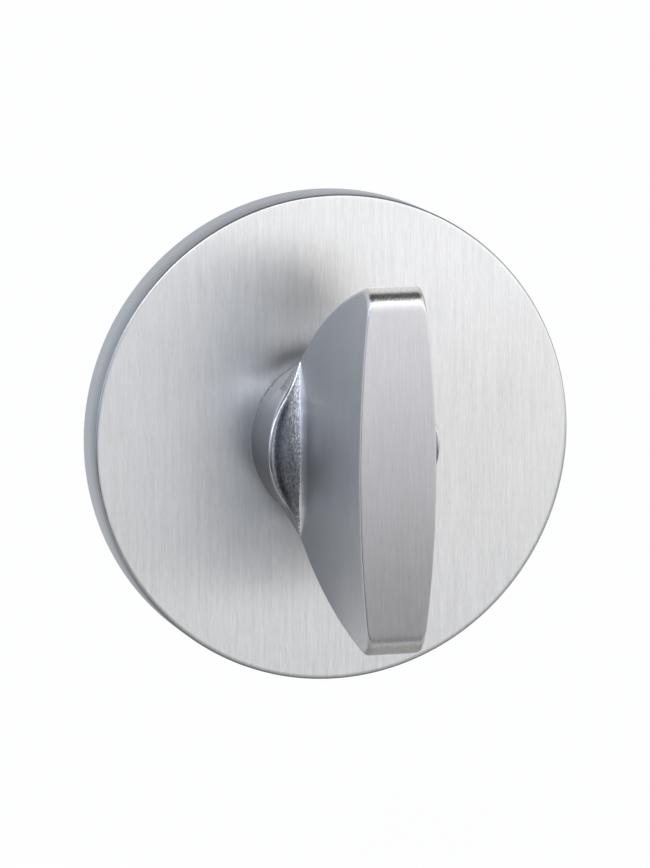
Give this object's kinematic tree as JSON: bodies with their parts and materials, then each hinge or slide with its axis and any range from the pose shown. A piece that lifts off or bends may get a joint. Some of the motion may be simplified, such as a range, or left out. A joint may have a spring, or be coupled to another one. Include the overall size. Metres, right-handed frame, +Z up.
{
  "type": "bathroom thumb turn lock",
  "caption": "Thumb turn for a bathroom door: round satin metal rose with a winged upright turn on a scooped boss, and a square spindle that works the lock behind the door face.",
  "frame": {"origin": "centre of the rose's back face, on the spindle axis, in the plane of the door face", "axes": "+Y into the door along the spindle, +Z up along the blade at rest, +X to the right seen from the room; the turn points towards -Y"},
  "size_m": [0.052, 0.079, 0.052],
  "materials": {
    "satin_rose": "vertical satin brush",
    "satin_turn": "satin, as cast in the scooped shoulders",
    "zinc_plate": "bright zinc plated",
    "nylon_grey": "moulded",
    "bush_white": "moulded acetal",
    "spring_steel": "dark, oiled",
    "spindle_steel": "drawn and zinc plated",
    "screw_steel": "zinc plated"
  },
  "bodies": {
    "rose": {"rose_cover": "satin_rose", "bearing_carrier": "nylon_grey", "base_plate": "zinc_plate", "snap_ring": "spring_steel", "door_screws": "screw_steel", "front_bush": "bush_white", "rear_bush": "bush_white"},
    "turn": {"thumb_turn": "satin_turn", "spindle": "spindle_steel", "spindle_pin": "spring_steel", "stop_cam": "zinc_plate", "thrust_washer": "zinc_plate", "wave_washer": "spring_steel", "retaining_ring": "spring_steel"}
  },
  "joints": [
    {"name": "turn_spin", "type": "hinge", "parent": "rose", "child": "turn", "pos_m": [0, 0, 0], "axis": [0, -1, 0], "range_deg": [0, 90]}
  ]
}
